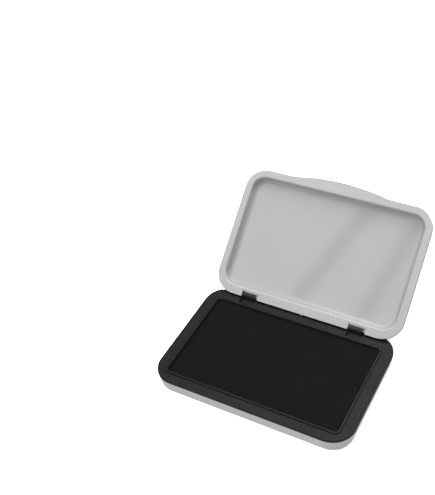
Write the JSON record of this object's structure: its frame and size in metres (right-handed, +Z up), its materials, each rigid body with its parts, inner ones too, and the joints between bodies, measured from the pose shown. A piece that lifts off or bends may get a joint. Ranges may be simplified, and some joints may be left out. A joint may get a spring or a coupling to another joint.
{
  "type": "stamp ink pad",
  "caption": "Flat rectangular office stamp pad: grey tray, dark frame round a cloth-covered felt, and a hinged grey lid with a thumb tab, standing open.",
  "frame": {"origin": "centre of the tray's footprint, on the plane the four feet rest on", "axes": "+X to the right along the hinge, +Y from the front edge to the hinge side, +Z up; rest pose has the lid leaning back on its open stop"},
  "size_m": [0.112, 0.1332, 0.0605],
  "materials": {
    "grey_shell": "satin, moulded",
    "dark_frame": "finely textured, moulded",
    "plate": "plain",
    "felt": "dense felt, inked",
    "inked_cloth": "fine plain weave, inked",
    "foot_rubber": "matte"
  },
  "bodies": {
    "base": {"base_tray": "grey_shell", "pad_frame": "dark_frame", "backing_plate": "plate", "ink_felt": "felt", "ink_cloth": "inked_cloth", "foot_front_left": "foot_rubber", "foot_front_right": "foot_rubber", "foot_rear_left": "foot_rubber", "foot_rear_right": "foot_rubber"},
    "lid": {"lid": "grey_shell"}
  },
  "joints": [
    {"name": "lid_hinge", "type": "hinge", "parent": "base", "child": "lid", "pos_m": [0, 0.0352, 0.0109], "axis": [1, 0, 0], "range_deg": [0, 140]}
  ]
}
